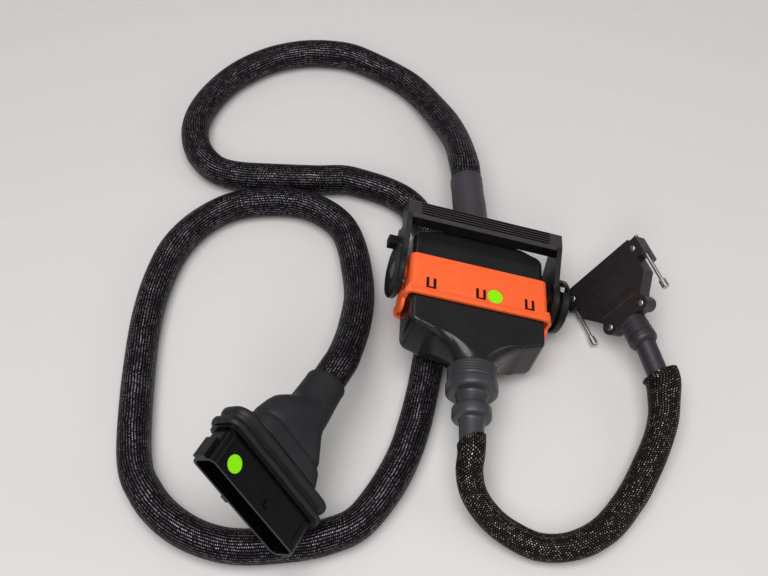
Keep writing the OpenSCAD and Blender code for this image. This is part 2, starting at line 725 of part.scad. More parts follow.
module plug_boot() {
    // a bell that gathers the flat flange into a round neck, pushed over to one side
    neck_len = 22;
    lean = -4.5;
    bell = seal_end + 11;
    shoulder = plug_end - neck_len - 10;
    neck_from = plug_end - neck_len;
    color("#353438") plug_pose() {
        hull() {
            boot_section(seal_end, shroud_w - 22, shroud_h + 5, 9);
            boot_section(bell, shroud_w - 28, shroud_h + 7, 11, lean / 3);
        }
        hull() {
            boot_section(bell, shroud_w - 28, shroud_h + 7, 11, lean / 3);
            boot_section(shoulder, shroud_w / 2 - 2, plug_neck_d + 2, 12, lean);
        }
        hull() {
            boot_section(shoulder, shroud_w / 2 - 2, plug_neck_d + 2, 12, lean);
            boot_section(neck_from, plug_neck_d + 3, plug_neck_d + 3, plug_neck_d / 2 + 1.4);
        }
        translate([0, neck_from, 0]) rotate([-90, 0, 0])
            cylinder(r1 = plug_neck_d / 2 + 1.5, r2 = plug_neck_d / 2, h = neck_len);
    }
}

module plug_dot() {
    color("#94e022") plug_pose() translate([-26.5, 8, shroud_h / 2]) cylinder(r = dot_d / 2, h = dot_t);
}

// D connector: y = 0 at the front face, +y to the cable, +z out of the upper shell
// Half of the hood's outline: the front edge, the ear, the side, and the end that holds the collar
function dsub_half(ear_back) = [
    [jack_x - 4, dsub_front], [jack_x - 3.4, -0.3], [jack_x + 1.9, -0.3], [jack_x + 1.9, ear_back],
    [jack_x - 0.9, ear_back + 0.5], [jack_x - 0.9, 12.5], [jack_x - 4.75, 11.7],
    [jack_x - 4.75, 22.5], [17, 33], [14, dsub_len]];

module dsub_plan(ear_back) {
    half = dsub_half(ear_back);
    polygon(concat(half, [for (i = [len(half) - 1 : -1 : 0]) [-half[i][0], half[i][1]]]));
    for (s = [-1, 1]) translate([s * rear_screw[0], rear_screw[1]]) circle(boss_screw_r);
}

module dsub_cavity() {
    // room for the contacts and the wires, and the cable's way out
    inner = dsub_h / 2 - 1.8;
    pocket = 3.4;
    gap = 0.1;
    translate([0, 0, -inner]) linear_extrude(2 * inner) polygon([
        [-21, pocket - 1], [21, pocket - 1], [21, 10], [rear_screw[0] - boss_screw_r, 32],
        [boss_screw_r - rear_screw[0], 32], [-21, 10]]);
    translate([-d_w / 2 - 0.4, -3, -d_h / 2 - 0.4]) cube([d_w + 0.8, pocket + 3, d_h + 0.8]);
    along_y(shell_flange_y - gap, shell_flange_y + shell_flange_t + gap)
        rounded_rect(shell_flange[0] + 2 * gap, shell_flange[1] + 2 * gap, 1);
    round_y(tenon_r - 1, 28, dsub_len + 1);
    round_y(tenon_r + fit, collar_start - gap, dsub_len + 1);
}

module dsub_shell_half(z0, ear_back) {
    seam = 0.1;
    difference() {
        translate([0, 0, z0]) linear_extrude(dsub_h / 2 - seam / 2) dsub_plan(ear_back);
        dsub_cavity();
        for (s = [-1, 1]) {
            round_y(jack_shank_r + fit, -1, 18, s * jack_x);
            for (at = [front_screw, rear_screw])
                translate([s * at[0], at[1], -dsub_h]) cylinder(r = screw_r + fit, h = 2 * dsub_h);
        }
    }
}

module dsub_hood_top() {
    recess = 0.5;
    head_seat = 0.9;
    color("#1d1b1e") dsub_pose() difference() {
        dsub_shell_half(0.05, 11.9);
        translate([0, 0, dsub_h / 2 - recess]) {
            translate([-13.6, 26]) cube([16, 4.8, 1]);
            translate([6, 26]) cube([8, 4.8, 1]);
        }
        for (s = [-1, 1], at = [front_screw, rear_screw])
            translate([s * at[0], at[1], dsub_h / 2 - head_seat]) cylinder(r = 2.5, h = 2);
    }
}

module dsub_hood_bottom() {
    color("#1d1b1e") dsub_pose() dsub_shell_half(-dsub_h / 2, 17);
}

module dsub_screws() {
    head_r = 2.3;
    head_seat = 0.85;
    slot = [0.6, 5, 1];
    color("#9c9da0") dsub_pose() for (s = [-1, 1], at = [front_screw, rear_screw])
        translate([s * at[0], at[1], 0]) difference() {
            union() {
                translate([0, 0, 2 - dsub_h / 2]) cylinder(r = screw_r, h = dsub_h - 2 - head_seat);
                translate([0, 0, dsub_h / 2 - head_seat]) cylinder(r = head_r, h = 1.2);
            }
            translate([-slot[0] / 2, -slot[1] / 2, dsub_h / 2 - 0.3]) cube(slot);
        }
}

// The metal front: a flange held in the hood and the D-shaped nose
module d_outline(w, h, slant = 1.5) {
    polygon([[-w / 2, h / 2], [w / 2, h / 2], [w / 2 - slant, -h / 2], [slant - w / 2, -h / 2]]);
}

module dsub_shell() {
    wall = 0.6;
    back = shell_flange_y + shell_flange_t;
    color("#b9bbbd") dsub_pose() difference() {
        union() {
            along_y(shell_flange_y, back) rounded_rect(shell_flange[0], shell_flange[1], 1);
            along_y(shell_flange_y - shell_nose, back) d_outline(d_w, d_h);
        }
        along_y(shell_flange_y - shell_nose - 1, back + 1) d_outline(d_w - 2 * wall, d_h - 2 * wall);
    }
}

module dsub_pin_places() {
    for (row = [0, 1], i = [0 : dsub_pins_top - row - 1])
        translate([(i - (dsub_pins_top - row - 1) / 2) * dsub_pin_pitch, 0, (row - 0.5) * -dsub_pin_row])
            children();
}

module dsub_insert() {
    floor_y = shell_flange_y - 0.5;
    back_y = shell_flange_y + 1.2;
    color("#232225") dsub_pose() difference() {
        along_y(floor_y, back_y) d_outline(d_w - 1.4, d_h - 1.4);
        dsub_pin_places() round_y(0.5 + fit, floor_y - 1, back_y + 1);
    }
}

module dsub_pins() {
    color("#c8a24e") dsub_pose() dsub_pin_places()
        round_y(0.5, shell_flange_y - shell_nose + 1, shell_flange_y + 1.3);
}

module relief_collar() {
    // a tenon in the hood, then shallow steps that widen to a round lip
    r = collar_d / 2;
    tenon = dsub_len - collar_start + 0.05;
    len = collar_end - collar_start;
    color("#434147") dsub_pose() turned_y(collar_start) polygon([
        [0, 0], [tenon_r, 0], [tenon_r, tenon], [r - 1.1, tenon], [r - 0.6, tenon + 0.5],
        [r - 0.5, tenon + 2.6], [r - 0.9, tenon + 3.1], [r - 0.9, tenon + 3.6], [r - 0.5, tenon + 4.1],
        [r - 0.4, tenon + 6.4], [r - 0.8, tenon + 6.9], [r - 0.8, tenon + 7.4], [r - 0.4, tenon + 7.9],
        [r - 0.3, tenon + 10.2], [r - 0.7, tenon + 10.7], [r - 0.7, tenon + 11.2],
        [r - 0.2, tenon + 12], [r, tenon + 13.4], [r, tenon + 15.6], [r - 0.4, tenon + 17.2],
        [r - 1.4, tenon + 18.4], [r - 2, len], [0, len]]);
}

module relief_tube() {
    color("#3c3a42") dsub_pose() difference() {
        translate([0, collar_end, 0]) rotate([0, 0, -tube_lean]) round_y(tube_d / 2, -3, tube_len);
        translate([-collar_d, collar_end - 10, -collar_d]) cube([2 * collar_d, 10, 2 * collar_d]);
    }
}

module jackscrew(side) {
    end = jack_tip + jack_len;
    slot = [0.8, 1.6, 6];
    color("#c7c6bf") dsub_pose() translate([side * jack_x, 0, 0]) difference() {
        union() {
            round_y(jack_r, jack_tip, jack_tip + jack_thread);
            round_y(jack_shank_r, jack_tip, end - jack_head_len + eps);
            round_y(jack_head_r, end - jack_head_len, end);
        }
        translate([-slot[0] / 2, end - slot[1], -slot[2] / 2]) cube(slot);
    }
}

module jackscrew_left() {
    jackscrew(1);
}

module jackscrew_right() {
    jackscrew(-1);
}

hood_a();
coupling_frame();
plug_body();
plug_contacts();
interface_seal();
pivot_studs();
frame_dot();
cable_sleeve();
long_cable();
plug_boot();
flange_seal();
plug_shroud();
plug_insert();
plug_pins();
plug_dot();
locking_lever();
hood_b();
receptacle_body();
receptacle_pins();
cam_followers();
ribbed_boot();
short_cable();
dsub_hood_top();
dsub_hood_bottom();
dsub_screws();
dsub_shell();
dsub_insert();
dsub_pins();
relief_collar();
relief_tube();
jackscrew_left();
jackscrew_right();
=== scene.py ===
# %% [markdown]
# # A test adapter harness
# Two black cable hoods meet in an orange frame and are locked by a lever. A long braided cable
# runs to a rectangular plug and a short one to a D-shaped connector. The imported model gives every
# rigid piece its place, so the scene starts by loading it and never moves what it brought in.

# %% Load the frame
import bpy
import bmesh
import math
from mathutils import Matrix, Vector, noise


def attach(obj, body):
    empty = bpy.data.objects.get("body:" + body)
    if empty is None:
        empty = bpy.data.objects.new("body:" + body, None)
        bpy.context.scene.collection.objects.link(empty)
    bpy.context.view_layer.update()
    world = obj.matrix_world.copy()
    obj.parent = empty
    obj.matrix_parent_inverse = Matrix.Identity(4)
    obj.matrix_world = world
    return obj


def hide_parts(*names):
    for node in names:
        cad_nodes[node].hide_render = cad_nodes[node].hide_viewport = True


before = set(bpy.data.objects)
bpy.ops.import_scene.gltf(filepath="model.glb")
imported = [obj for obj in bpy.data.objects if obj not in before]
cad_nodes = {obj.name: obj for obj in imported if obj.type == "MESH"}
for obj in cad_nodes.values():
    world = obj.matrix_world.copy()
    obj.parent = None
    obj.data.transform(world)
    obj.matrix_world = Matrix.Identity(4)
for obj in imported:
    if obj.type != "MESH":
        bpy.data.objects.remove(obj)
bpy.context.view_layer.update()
for leftover in ("Cube", "Light", "Camera"):
    if leftover in bpy.data.objects:
        bpy.data.objects.remove(bpy.data.objects[leftover])
bpy.context.scene.view_settings.view_transform = "Standard"
print("pieces in the frame:", len(cad_nodes))

# %% [markdown]
# The photograph looks down at the table from a little over half of a right angle, almost square to
# the coupler. A camera is easiest to keep true when it is written as the point it looks at, two
# angles and a distance, so those are the values here and the place follows from them.

# %% Camera
look_at = Vector((-0.0618, 0.0332, 0.0))
around, above, away = math.radians(3), math.radians(54), 0.7356
camera_back = Vector((math.sin(around) * math.cos(above), -math.cos(around) * math.cos(above),
                      math.sin(above)))
camera = bpy.data.objects.new("photo_camera", bpy.data.cameras.new("photo_camera"))
camera.data.lens, camera.data.sensor_width = 50, 36
camera.data.clip_start, camera.data.clip_end = 0.02, 20
camera.location = look_at + camera_back * away
camera.rotation_euler = (-camera_back).to_track_quat("-Z", "Y").to_euler()
bpy.context.scene.collection.objects.link(camera)
bpy.context.scene.camera = camera
print("camera at", [round(c, 3) for c in camera.location])

# %% [markdown]
# Every finish below is a small graph of nodes. One helper adds a node and fills its sockets, either
# with a number or by linking another node's output, so that each finish can be read as a list of
# what feeds what. Colours are written as the eye reads them on screen and made linear here.

# %% Helpers for finishes
def tone(red, green, blue):
    """A colour as seen on screen, 0 to 255, as the linear colour that shaders want."""
    def linear(c):
        c /= 255
        return c / 12.92 if c <= 0.04045 else ((c + 0.055) / 1.055) ** 2.4
    return (linear(red), linear(green), linear(blue), 1.0)


def add(tree, kind, inputs=(), **settings):
    """One node: its settings by name, its inputs by socket name or number."""
    made = tree.nodes.new("ShaderNode" + kind)
    for name, value in settings.items():
        setattr(made, name, value)
    for name, value in dict(inputs).items():
        if isinstance(value, bpy.types.NodeSocket):
            tree.links.new(value, made.inputs[name])
        else:
            made.inputs[name].default_value = value
    return made


def sums(tree, operation, first, second=0.0, third=0.0):
    """A Math node's result."""
    return add(tree, "Math", {0: first, 1: second, 2: third}, operation=operation).outputs[0]


def mix_colour(tree, factor, dark, light):
    """Two colours mixed by a factor. A Mix node has sockets for each kind of value; these are the colours'."""
    factor_in, dark_in, light_in, colour_out = 0, 6, 7, 2
    mixed = add(tree, "Mix", data_type="RGBA")
    for socket, value in ((factor_in, factor), (dark_in, dark), (light_in, light)):
        if isinstance(value, bpy.types.NodeSocket):
            tree.links.new(value, mixed.inputs[socket])
        else:
            mixed.inputs[socket].default_value = value
    return mixed.outputs[colour_out]


def new_finish(name):
    """An empty finish: its tree and its surface shader."""
    finish = bpy.data.materials.new(name)
    finish.use_nodes = True
    tree = finish.node_tree
    tree.nodes.clear()
    shader = add(tree, "BsdfPrincipled")
    add(tree, "OutputMaterial", {"Surface": shader.outputs[0]})
    return finish, tree, shader


print("finish helpers ready")

# %% [markdown]
# The braid on both cables is woven from flat bundles of thin plastic filaments that run round the
# cable in two directions and pass over and under each other. Modelling each filament would cost far
# more faces than it shows, so the weave is computed in the finish from the tube's own map: one axis
# round the cable and one along it. Turned by half a right angle, the map gives a checker of
# crossings. Each crossing is a small pillow that shines at its crown, some more than others, and
# those glints in rows are what the eye reads as braid. Besides the real gloss of the crowns, each
# crown is painted a lighter tone: faintly on every crossing, as the rows of the weave, and brightly
# on the shining ones, as a painted highlight. A slow noise, drawn out along the cable, makes the
# glints come in patches; these patches are painted highlight, set where the runs of the cable
# catch the light.

# %% Braid finish
row_drift_scale = 80.0
patch_along, patch_scale, patch_slice = 9.0, 0.9, 14.8
dim_patch, dim_glint = 0.12, 0.09
filament_ior = 2.0


def braid(name, bundles, stretch, dark, light, glint, dot, stray, depth):
    """A woven sleeve.

    The bundles go round it, and stretch is how far they lean along it. The glint is the share of
    crossings that shine, dot is a glint's size, stray is how far the rows wander, and depth is the
    relief of the weave in metres. Dark is the tone between the crowns, and light the lighter tone
    painted on them: faint rows of the weave, and painted highlight on the glints.
    """
    finish, tree, shader = new_finish(name)
    place = add(tree, "SeparateXYZ", {0: add(tree, "UVMap", uv_map="UVMap").outputs[0]})
    drift = add(tree, "TexNoise", {"Vector": add(tree, "TexCoord").outputs["Object"],
                                   "Scale": row_drift_scale, "Detail": 2.0}).outputs["Fac"]
    round_it = sums(tree, "MULTIPLY_ADD", place.outputs[0], bundles, sums(tree, "MULTIPLY", drift, stray))
    along_it = sums(tree, "MULTIPLY", place.outputs[1], bundles * stretch)
    crowns, numbers, offsets = [], [], []
    for lay in (sums(tree, "ADD", round_it, along_it), sums(tree, "SUBTRACT", round_it, along_it)):
        across = sums(tree, "FRACT", lay)
        numbers.append(sums(tree, "FLOOR", lay))
        offsets.append(sums(tree, "SUBTRACT", across, 0.5))
        crowns.append(sums(tree, "SINE", sums(tree, "MULTIPLY", across, math.pi)))
    pillow = sums(tree, "POWER", sums(tree, "MULTIPLY", crowns[0], crowns[1]), 0.7)
    sideways = sums(tree, "MULTIPLY", sums(tree, "ADD", offsets[0], offsets[1]), 0.5)
    lengthways = sums(tree, "MULTIPLY", sums(tree, "SUBTRACT", offsets[0], offsets[1]), 0.5 / stretch)
    offset = add(tree, "CombineXYZ", {0: sideways, 1: lengthways}).outputs[0]
    off_crown = add(tree, "VectorMath", {0: offset}, operation="LENGTH").outputs["Value"]
    crown = add(tree, "MapRange", {0: off_crown, 1: dot, 2: 0.4 * dot, 3: 0.0, 4: 1.0}).outputs[0]
    cell = add(tree, "CombineXYZ", {0: numbers[0], 1: numbers[1]}).outputs[0]
    chance = add(tree, "TexWhiteNoise", {"Vector": cell}, noise_dimensions="2D").outputs["Value"]
    streak = add(tree, "CombineXYZ", {0: round_it, 1: sums(tree, "MULTIPLY", place.outputs[1], patch_along),
                                      2: patch_slice}).outputs[0]
    spread = add(tree, "TexNoise", {"Vector": streak, "Scale": patch_scale, "Detail": 3.0}).outputs["Fac"]
    # patches of painted highlight along the cable
    painted_glint_patch = add(tree, "MapRange", {0: spread, 1: 0.38, 2: 0.62, 3: dim_patch, 4: 1.0}).outputs[0]
    bright = add(tree, "MapRange", {0: chance, 1: 1 - glint, 2: 1 - 0.3 * glint, 3: 0.0, 4: 1.0}).outputs[0]
    keen = sums(tree, "MULTIPLY", bright, painted_glint_patch)
    # the crowns are painted lighter: faint rows of the weave, and a bright painted highlight where a glint
    # shines
    share = sums(tree, "MULTIPLY", crown, sums(tree, "MULTIPLY_ADD", keen, 1 - dim_glint, dim_glint))
    tree.links.new(mix_colour(tree, share, dark, light), shader.inputs["Base Color"])
    tree.links.new(sums(tree, "MULTIPLY_ADD", crown, -0.34, 0.58), shader.inputs["Roughness"])
    tree.links.new(sums(tree, "MULTIPLY_ADD", share, 0.97, 0.03), shader.inputs["Specular IOR Level"])
    shader.inputs["IOR"].default_value = filament_ior
    bump = add(tree, "Bump", {"Height": pillow, "Strength": 1.0, "Distance": depth})
    tree.links.new(bump.outputs[0], shader.inputs["Normal"])
    return finish


# light is the tone of the painted highlight on the crowns
fine_braid = braid("fine_black_braid", bundles=18, stretch=3.0, dark=tone(4, 2, 5), light=tone(112, 105, 114),
                   glint=0.85, dot=0.14, stray=0.5, depth=0.00015)
coarse_braid = braid("coarse_dark_braid", bundles=19, stretch=1.9, dark=tone(6, 5, 5),
                     light=tone(160, 147, 131), glint=0.5, dot=0.16, stray=1.0, depth=0.0002)
print("braids:", fine_braid.name, coarse_braid.name)

# %% [markdown]
# Where the coupler, the plug and the D connector lie on the table. Each has its own straight frame
# in which it is easy to model, and one matrix that puts it in place. The pieces below are drawn in
# millimetres in those frames and turned into metres by the same matrix. The coupler rests on the rim
# of one cam disc and leans, so its height follows from the disc and the lean.

# %% Places
def placed(where, turn_x, turn_y, turn_z):
    """Millimetres in a straight frame to metres on the table: turned about y, x and z, then moved."""
    return (Matrix.Translation(Vector(where) / 1000) @ Matrix.Rotation(math.radians(turn_z), 4, "Z")
            @ Matrix.Rotation(math.radians(turn_x), 4, "X") @ Matrix.Rotation(math.radians(turn_y), 4, "Y")
            @ Matrix.Scale(0.001, 4))


coupler_lean, disc_x, disc_r = 17, 60.4, 18
coupler_height = (disc_x * math.sin(math.radians(coupler_lean))
                  + disc_r * math.cos(math.radians(coupler_lean)))
on_coupler = placed((-3.25, 3, coupler_height), 0, coupler_lean, 0)
on_plug = placed((-127, -162, 62), -6.5, 53, -23)
on_dsub = placed((83.3, 34, 30.7), -3.4, 51.3, -157)
sleeve_turn, sleeve_len = math.radians(6), 47
sleeve_way = Vector((-math.sin(sleeve_turn), math.cos(sleeve_turn), 0))
neck_a, neck_b = 53, 54.5
sleeve_end = Vector((0, neck_a, 0)) + sleeve_len * sleeve_way
boot_len, plug_end = 46.5, 94.5
boot_end = neck_b + boot_len
tube_lean, tube_len, tube_aside, collar_end = math.radians(7), 22, 1.9, 61
tube_way = Vector((math.sin(tube_lean), math.cos(tube_lean), 0))
mouth = (Vector((0, collar_end, 0)) + tube_len * tube_way
         + tube_aside * Vector((-tube_way.y, tube_way.x, 0)))
print("coupler height, mm:", round(coupler_height, 2))

# %% [markdown]
# The routes follow the cables of the solid model, in metres. The short one lies a little lower than
# there, because it is drawn slimmer. The long cable leaves the sleeve, makes a loop, passes under the
# coupler, goes round the plug and comes back up into it. A curve through the points keeps the cable
# smooth, and even steps along it keep its weave even.

# %% Cable routes
long_route = [on_coupler @ sleeve_end, on_coupler @ (sleeve_end + 14 * sleeve_way)] + [
    Vector(p) / 1000 for p in (
        (-16, 157, 23), (-31, 193, 14), (-54, 225, 10.5), (-92, 250, 10.5), (-117, 256, 10.5),
        (-143, 254, 10.5), (-169, 243, 10.5), (-193, 221, 10.5), (-209, 191, 10.5),
        (-212, 163, 10.5), (-201, 137, 10.5), (-177, 122, 10.5), (-119, 121, 10.5), (-87, 120, 10.5),
        (-45, 98, 10.5), (-27, 42, 12), (-29, -24, 12), (-41, -94, 10.5), (-63, -139, 10.5),
        (-85, -154, 10.5), (-115, -161, 10.5), (-145, -162, 10.5), (-173, -152, 10.5),
        (-195, -132, 10.5), (-208, -102, 10.5), (-217, -18, 10.5), (-213, 36, 10.5), (-200, 68, 10.5),
        (-177, 90, 10.5), (-149, 98, 10.5), (-121, 96, 10.5), (-98, 82, 10.5), (-86, 60, 11.5),
        (-77.5, 16, 20), (-77.5, -22, 34.5))] + [
    on_plug @ Vector((0.3, plug_end + 24, -1)), on_plug @ Vector((0, plug_end + 12, 0)),
    on_plug @ Vector((0, plug_end, 0))]
short_route = [on_coupler @ Vector((0, -boot_end, 0)), on_coupler @ Vector((0, -boot_end - 10, 0))] + [
    Vector(p) / 1000 for p in (
        (-4, -117, 28), (-1, -127, 20.5), (7, -136.5, 14.5), (19, -145, 10), (37, -152.5, 8.4),
        (57, -151.5, 8.5), (76, -141, 8.9), (92, -121.5, 9.9), (102, -104, 11.8), (110, -87, 14.5),
        (115, -71, 18.5), (116.5, -56.5, 22.3))] + [
    on_dsub @ (mouth + 5 * tube_way), on_dsub @ mouth]


curve_steps = 40
long_step, short_step = 0.0035, 0.0025


def between(a, b, c, d, t):
    """A point between b and c on the smooth curve through a, b, c and d."""
    return b + 0.5 * t * (c - a + t * (2 * a - 5 * b + 4 * c - d + t * (3 * (b - c) + d - a)))


def smooth_line(points, step):
    """A curve through the points, cut into even steps: its points and their distances along it."""
    last = len(points) - 1
    fine = [between(points[max(i - 1, 0)], points[i], points[i + 1], points[min(i + 2, last)],
                    k / curve_steps) for i in range(last) for k in range(curve_steps)] + [points[-1]]
    travel = [0.0]
    for a, b in zip(fine, fine[1:]):
        travel.append(travel[-1] + (b - a).length)
    count = round(travel[-1] / step)
    line, at, i = [], [], 0
    for k in range(count + 1):
        want = travel[-1] * k / count
        while i < len(travel) - 2 and travel[i + 1] < want:
            i += 1
        part = (want - travel[i]) / (travel[i + 1] - travel[i])
        line.append(fine[i].lerp(fine[i + 1], part))
        at.append(want)
    return line, at


long_line, long_at = smooth_line(long_route, long_step)
short_line, short_at = smooth_line(short_route, short_step)
print("cable lengths, m:", round(long_at[-1], 3), round(short_at[-1], 3))

# %% [markdown]
# Many pieces here are lofts: a ring of points that is drawn out again and again while it changes
# size, as a potter pulls up a wall. The extrude operator makes each new ring, and only the places of
# its points are set. The same helper serves the cables, the hoods, the seal and the boots.

# %% Loft and piece helpers
def loft(bm, rings):
    """Draws the first ring out through all the others and gives back every ring's vertices."""
    verts = [bm.verts.new(p) for p in rings[0]]
    edges = [bm.edges.new((a, b)) for a, b in zip(verts, verts[1:] + verts[:1])]
    loops = [verts]
    for ring in rings[1:]:
        made = bmesh.ops.extrude_edge_only(bm, edges=edges)["geom"]
        copies = {tuple(v.co): v for v in made if isinstance(v, bmesh.types.BMVert)}
        verts = [copies[tuple(v.co)] for v in verts]
        fresh = set(verts)
        edges = [e for e in made if isinstance(e, bmesh.types.BMEdge) and fresh.issuperset(e.verts)]
        for v, p in zip(verts, ring):
            v.co = p
        loops.append(verts)
    return loops


def close_end(bm, verts):
    """Fills a ring with one face."""
    bmesh.ops.contextual_create(bm, geom=list(verts))


def make_piece(name, bm, body, finish, replaced=(), place=None, crease=40, flat=False):
    """Turns a bmesh into a finished piece that rides on a body and stands for CAD nodes."""
    if place is not None:
        bmesh.ops.transform(bm, matrix=place, verts=bm.verts)
    bmesh.ops.recalc_face_normals(bm, faces=bm.faces)
    mesh = bpy.data.meshes.new(name)
    bm.to_mesh(mesh)
    bm.free()
    mesh.polygons.foreach_set("use_smooth", [True] * len(mesh.polygons))
    mesh.set_sharp_from_angle(angle=math.radians(crease))
    mesh.materials.append(finish)
    piece = bpy.data.objects.new(name, mesh)
    bpy.context.scene.collection.objects.link(piece)
    if flat:
        piece.modifiers.new("flat_faces", "WEIGHTED_NORMAL").keep_sharp = True
    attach(piece, body)
    if replaced:
        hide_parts(*replaced)
    return piece


print("loft helpers ready")

# %% [markdown]
# The cables are tubes of that loft. Their thickness is not quite even, because a woven sleeve
# bulges over the wires inside it, so the radius wanders a little. The short cable's sleeve starts
# slim and askew at the coupler, has one fold, and opens into a flare round the strain relief.

# %% Cables
cable_sides = 28
long_r, long_r_most = 0.0104, 0.0109
short_r, short_growth, short_fold = 0.0079, 0.0014, 0.0021
mouth_flare, start_flare = 0.0026, 0.0008


def turned(k):
    """The angle of a cable's k-th side."""
    return 2 * math.pi * k / cable_sides


def cable_piece(name, line, at, radius_at, finish, body, node, slip_at=None):
    """A tube along a line with a map: once round the cable, and along it in turns of its girth."""
    rings = []
    for i, p in enumerate(line):
        way = (line[min(i + 1, len(line) - 1)] - line[max(i - 1, 0)]).normalized()
        if i in (0, len(line) - 1):
            way = (line[1] - line[0] if i == 0 else line[-1] - line[-2]).normalized()
        side = way.cross(Vector((0, 0, 1))).normalized()
        up = side.cross(way)
        rings.append([p + radius_at(at[i], k) * (math.cos(turned(k)) * side + math.sin(turned(k)) * up)
                      + (slip_at(at[i], k) if slip_at else 0.0) * way for k in range(cable_sides)])
    bm = bmesh.new()
    loops = loft(bm, rings)
    spot = {v: (i, k) for i, loop in enumerate(loops) for k, v in enumerate(loop)}
    sheet = bm.loops.layers.uv.new("UVMap")
    girth = 2 * math.pi * radius_at(at[len(at) // 2], 0)
    for face in bm.faces:
        seam = {spot[v][1] for v in face.verts} == {0, cable_sides - 1}
        for corner in face.loops:
            i, k = spot[corner.vert]
            corner[sheet].uv = ((cable_sides if seam and k == 0 else k) / cable_sides, at[i] / girth)
    return make_piece(name, bm, body, finish, [node])


def long_radius(s, k):
    """The long cable's radius at a distance along it and a side: it wanders and flattens a little."""
    wander = noise.noise(Vector((s * 26, 0.3, k * 0.02))) * 0.0005
    flat = 0.0004 * noise.noise(Vector((s * 9, 4.1, 0.0))) * math.cos(2 * turned(k))
    return min(long_r + wander + flat, long_r_most)


def short_radius(s, k):
    """The short cable's radius: it grows from the coupler on, with a fold and a flare at its mouth."""
    across = math.cos(turned(k))
    wander = noise.noise(Vector((s * 40, 7.7, k * 0.03))) * 0.0005
    mouth_share = max(0.0, 1 - (short_at[-1] - s) / 0.024) ** 1.4
    start_share = max(0.0, 1 - s / 0.016) ** 1.2
    wide_share = max(0.0, min(1.0, (s - 0.06) / 0.1))
    fold = math.exp(-((s - 0.078) / 0.026) ** 2 - ((turned(k) - 2.3) / 0.34) ** 2)
    return (short_r + short_growth * wide_share + wander + mouth_flare * mouth_share * (1 - 0.3 * across)
            + start_flare * start_share - short_fold * fold)


def short_slip(s, k):
    """The short cable's sleeve is cut askew at the coupler, so its first rings slip along the cable."""
    return max(0.0, 1 - s / 0.014) * (0.0026 + 0.0034 * math.cos(turned(k)))


long_cable = cable_piece("long_braided_cable", long_line, long_at, long_radius, fine_braid,
                         "plug_half", "long_cable")
short_cable = cable_piece("short_braided_cable", short_line, short_at, short_radius, coarse_braid,
                          "socket_half", "short_cable", short_slip)
print("cable faces:", len(long_cable.data.polygons), len(short_cable.data.polygons))

# %% [markdown]
# Moulded plastic is never one flat colour: the mould leaves a fine grain, handling polishes some
# places and dulls others, and dust settles in between. Three noises at three sizes give this, the
# finest as a bump, the middle one in the gloss and the widest in the colour. Rubber is the same
# with a softer grain and less gloss. Faces that a piece picks out can have painted shading in a tone
# of their own: painted shade inside the slots of the frame, painted highlight on the lever's ridge
# and on the raised lines of the D connector.

# %% Moulded finishes
dust_scale, wear_scale, dust_share = 38.0, 260.0, 0.35


def moulded(name, colour, faded, rough, grain_mm, grain_depth_mm, level=0.5, painted_shading=None):
    """Plastic or rubber: two tones, how rough it is, its grain, its shine and a tone of painted shading for
    picked-out faces.
    """
    finish, tree, shader = new_finish(name)
    spot = add(tree, "TexCoord").outputs["Object"]
    wide = add(tree, "TexNoise", {"Vector": spot, "Scale": dust_scale, "Detail": 5.0,
                                  "Roughness": 0.62}).outputs["Fac"]
    middle = add(tree, "TexNoise", {"Vector": spot, "Scale": wear_scale, "Detail": 4.0,
                                    "Roughness": 0.6}).outputs["Fac"]
    grain = add(tree, "TexNoise", {"Vector": spot, "Scale": 1000.0 / grain_mm, "Detail": 2.0}).outputs["Fac"]
    share = add(tree, "MapRange", {0: wide, 1: 0.38, 2: 0.72, 3: 0.0, 4: dust_share}).outputs[0]
    seen = mix_colour(tree, share, colour, faded)
    # painted shading: picked-out faces take this tone, painted shade in slots and painted highlight on ridges
    # and raised lines
    if painted_shading:
        gets_painted_shading = add(tree, "Attribute", attribute_name="painted_shading").outputs["Fac"]
        seen = mix_colour(tree, gets_painted_shading, seen, painted_shading)
    tree.links.new(seen, shader.inputs["Base Color"])
    worn = add(tree, "MapRange", {0: middle, 1: 0.3, 2: 0.7, 3: rough - 0.07, 4: rough + 0.09}).outputs[0]
    tree.links.new(worn, shader.inputs["Roughness"])
    shader.inputs["Specular IOR Level"].default_value = level
    bump = add(tree, "Bump", {"Height": grain, "Strength": 0.6, "Distance": grain_depth_mm / 1000})
    tree.links.new(bump.outputs[0], shader.inputs["Normal"])
    return finish


hood_black = moulded("hood_black", tone(24, 23, 24), tone(38, 36, 38), 0.24, 0.7, 0.03, level=0.5)
# the frame's slots get painted shade, a dark red, on the faces its piece picks out
frame_orange = moulded("frame_orange", tone(248, 98, 42), tone(250, 116, 64), 0.46, 0.9, 0.04,
                       painted_shading=tone(128, 20, 8))
# the ribs of the lever's crossbar get a painted highlight, a lighter grey
lever_black = moulded("lever_black", tone(12, 11, 12), tone(24, 23, 23), 0.33, 0.6, 0.04, level=0.45,
                      painted_shading=tone(54, 51, 52))
shroud_black = moulded("shroud_black", tone(3, 3, 5), tone(10, 9, 12), 0.3, 0.6, 0.04, level=0.22)
housing_black = moulded("housing_black", tone(14, 14, 16), tone(28, 27, 29), 0.5, 0.8, 0.04)
